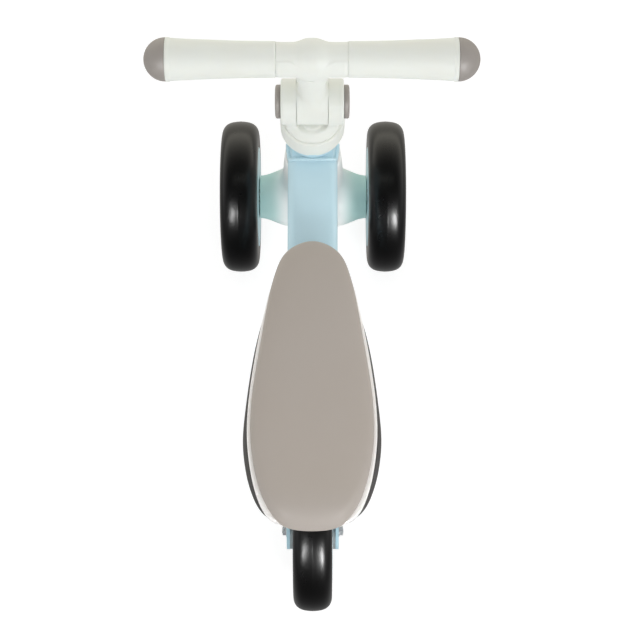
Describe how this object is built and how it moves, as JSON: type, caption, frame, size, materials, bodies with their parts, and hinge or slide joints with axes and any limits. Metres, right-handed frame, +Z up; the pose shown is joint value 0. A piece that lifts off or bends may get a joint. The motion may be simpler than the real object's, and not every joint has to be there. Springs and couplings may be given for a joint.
{
  "type": "toddler balance bike",
  "caption": "Toddler balance bike with a steered pair of front wheels, one rear wheel, a fold-down handlebar with end-capped grips, and a padded saddle on a clamped post.",
  "frame": {"origin": "on the ground, midway between the foremost and rearmost points of the wheels and midway between the handlebar ends", "axes": "+X forward, +Y to the rider's left, +Z up"},
  "size_m": [0.488, 0.284, 0.3868],
  "materials": {
    "frame_paint": "satin pale blue powder coat",
    "hub_plastic": "semi-gloss pale blue moulded plastic",
    "aqua_plastic": "satin pale aqua moulded plastic",
    "mint_plastic": "satin mint-white moulded plastic",
    "grip_rubber": "soft mint-white rubber",
    "taupe_plastic": "soft-touch taupe plastic",
    "saddle_skin": "smooth matt taupe moulded skin over foam",
    "white_plastic": "semi-gloss white moulded plastic",
    "charcoal_plastic": "fine-textured charcoal moulded plastic",
    "tyre_foam": "satin black moulded foam",
    "dark_nylon": "dark nylon",
    "grey_nylon": "grey nylon",
    "dark_metal": "satin grey coated aluminium",
    "fork_steel": "plated steel",
    "zinc": "bright zinc plating"
  },
  "bodies": {
    "frame": {"main_frame": "frame_paint", "headset_bush_upper": "dark_nylon", "headset_bush_lower": "dark_nylon", "tube_end_plug": "dark_nylon", "seat_clamp_collar": "dark_metal", "seat_clamp_bolt": "zinc", "rear_axle": "zinc", "rear_axle_nuts": "zinc", "rear_axle_washers": "zinc", "rear_axle_spacers": "grey_nylon"},
    "steering": {"steering_fork": "fork_steel", "axle_cover_upper": "aqua_plastic", "axle_cover_lower": "aqua_plastic", "axle_cover_screws": "zinc", "front_axle": "zinc", "front_axle_spacers": "zinc", "front_axle_washers": "zinc", "front_axle_nuts": "zinc", "headset_collar": "mint_plastic", "stem_base": "mint_plastic", "stem_bolt": "zinc", "steerer_plug": "dark_nylon", "hinge_pin": "zinc"},
    "button_left": {"hinge_button_left": "taupe_plastic"},
    "button_right": {"hinge_button_right": "taupe_plastic"},
    "handlebar": {"stem_tongue": "mint_plastic", "handlebar_tee": "mint_plastic", "tee_screw": "zinc", "handlebar_tube": "zinc", "grip_left": "grip_rubber", "grip_right": "grip_rubber", "grip_cap_left": "taupe_plastic", "grip_cap_right": "taupe_plastic"},
    "front_left_wheel": {"front_left_tyre": "tyre_foam", "front_left_hub": "hub_plastic", "front_left_bearings": "zinc", "front_left_hub_cap": "mint_plastic"},
    "front_right_wheel": {"front_right_tyre": "tyre_foam", "front_right_hub": "hub_plastic", "front_right_bearings": "zinc", "front_right_hub_cap": "mint_plastic"},
    "rear_wheel": {"rear_tyre": "tyre_foam", "rear_hub": "hub_plastic", "rear_bearings": "zinc"},
    "saddle": {"saddle_pad": "saddle_skin", "saddle_rim": "white_plastic", "saddle_shell": "charcoal_plastic", "seat_post": "fork_steel", "saddle_screws": "zinc"}
  },
  "joints": [
    {"name": "steering_turn", "type": "hinge", "parent": "frame", "child": "steering", "pos_m": [0.175, 0, 0.2], "axis": [0, 0, 1], "range_deg": [-45, 45]},
    {"name": "handlebar_fold", "type": "hinge", "parent": "steering", "child": "handlebar", "pos_m": [0.175, 0, 0.285], "axis": [0, -1, 0], "range_deg": [0, 90]},
    {"name": "button_left_press", "type": "slide", "parent": "steering", "child": "button_left", "axis": [0, -1, 0], "range_m": [0, 0.003], "stiffness_N_per_m": 300, "springref_m": -0.004},
    {"name": "button_right_press", "type": "slide", "parent": "steering", "child": "button_right", "axis": [0, 1, 0], "range_m": [0, 0.003], "stiffness_N_per_m": 300, "springref_m": -0.004},
    {"name": "front_left_spin", "type": "hinge", "parent": "steering", "child": "front_left_wheel", "pos_m": [0.169, 0.072, 0.075], "axis": [0, 1, 0], "continuous": true},
    {"name": "front_right_spin", "type": "hinge", "parent": "steering", "child": "front_right_wheel", "pos_m": [0.169, -0.072, 0.075], "axis": [0, 1, 0], "continuous": true},
    {"name": "rear_spin", "type": "hinge", "parent": "frame", "child": "rear_wheel", "pos_m": [-0.169, 0, 0.075], "axis": [0, 1, 0], "continuous": true},
    {"name": "saddle_height", "type": "slide", "parent": "frame", "child": "saddle", "axis": [0, 0, 1], "range_m": [0, 0.012]}
  ]
}
